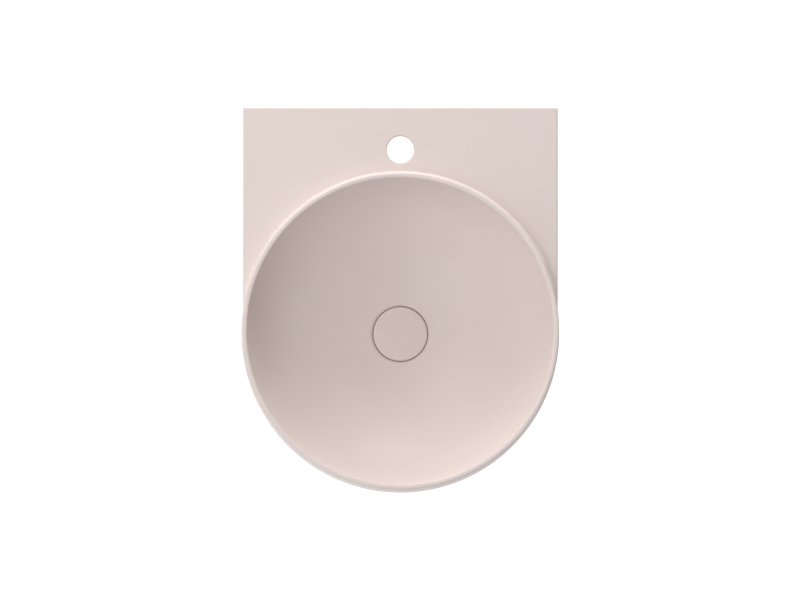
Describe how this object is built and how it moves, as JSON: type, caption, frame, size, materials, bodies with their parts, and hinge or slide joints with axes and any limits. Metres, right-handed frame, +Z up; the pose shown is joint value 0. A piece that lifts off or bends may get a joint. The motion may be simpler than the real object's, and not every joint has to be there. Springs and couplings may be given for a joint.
{
  "type": "wall hung basin",
  "caption": "Matt ceramic wall-hung washbasin with a round bowl rising out of a square tap deck, a tap hole, a push-to-open plug with a ceramic cover and a threaded waste.",
  "frame": {"origin": "centre of the two wall-fixing holes, on the plane of the ceramic's back face", "axes": "+Y points out of the back face into the wall, -Y to the user, +Z up through the tap hole, X along the wall through both fixing holes"},
  "size_m": [0.415, 0.5, 0.2007],
  "materials": {
    "ceramic": "matt pale rose beige glaze",
    "white_nylon": "moulded nylon",
    "chromed_brass": "bright plated",
    "black_rubber": "moulded rubber",
    "clear_silicone": "bonding pad",
    "grey_plastic": "moulded acetal",
    "brass": "turned",
    "spring_steel": "drawn wire"
  },
  "bodies": {
    "basin": {"basin_body": "ceramic", "fixing_bushes": "white_nylon", "waste_body": "chromed_brass", "flange_gasket": "black_rubber", "cone_seal": "black_rubber", "slip_washer": "white_nylon", "back_nut": "chromed_brass", "spindle_wiper": "black_rubber", "cartridge_housing": "brass", "cartridge_cap": "brass", "stud_nut": "brass", "return_spring": "spring_steel"},
    "plug": {"plug_cover": "ceramic", "cover_pad": "clear_silicone", "plug_carrier": "grey_plastic", "plug_seal": "black_rubber", "jam_nut": "brass", "spindle": "brass"},
    "latch": {"latch_rotor": "grey_plastic"}
  },
  "joints": [
    {"name": "plug_slide", "type": "slide", "parent": "basin", "child": "plug", "axis": [0, 0, 1], "range_m": [-0.0015, 0.009], "deforming": ["return_spring"]},
    {"name": "rotor_turn", "type": "hinge", "parent": "plug", "child": "latch", "pos_m": [0, -0.2925, -0.0725], "axis": [0, 0, 1], "range_deg": [-6.5, 38.6]}
  ],
  "couplings": [
    {"joint": "rotor_turn", "follows": "plug_slide", "rad_per_m": 74.8}
  ]
}
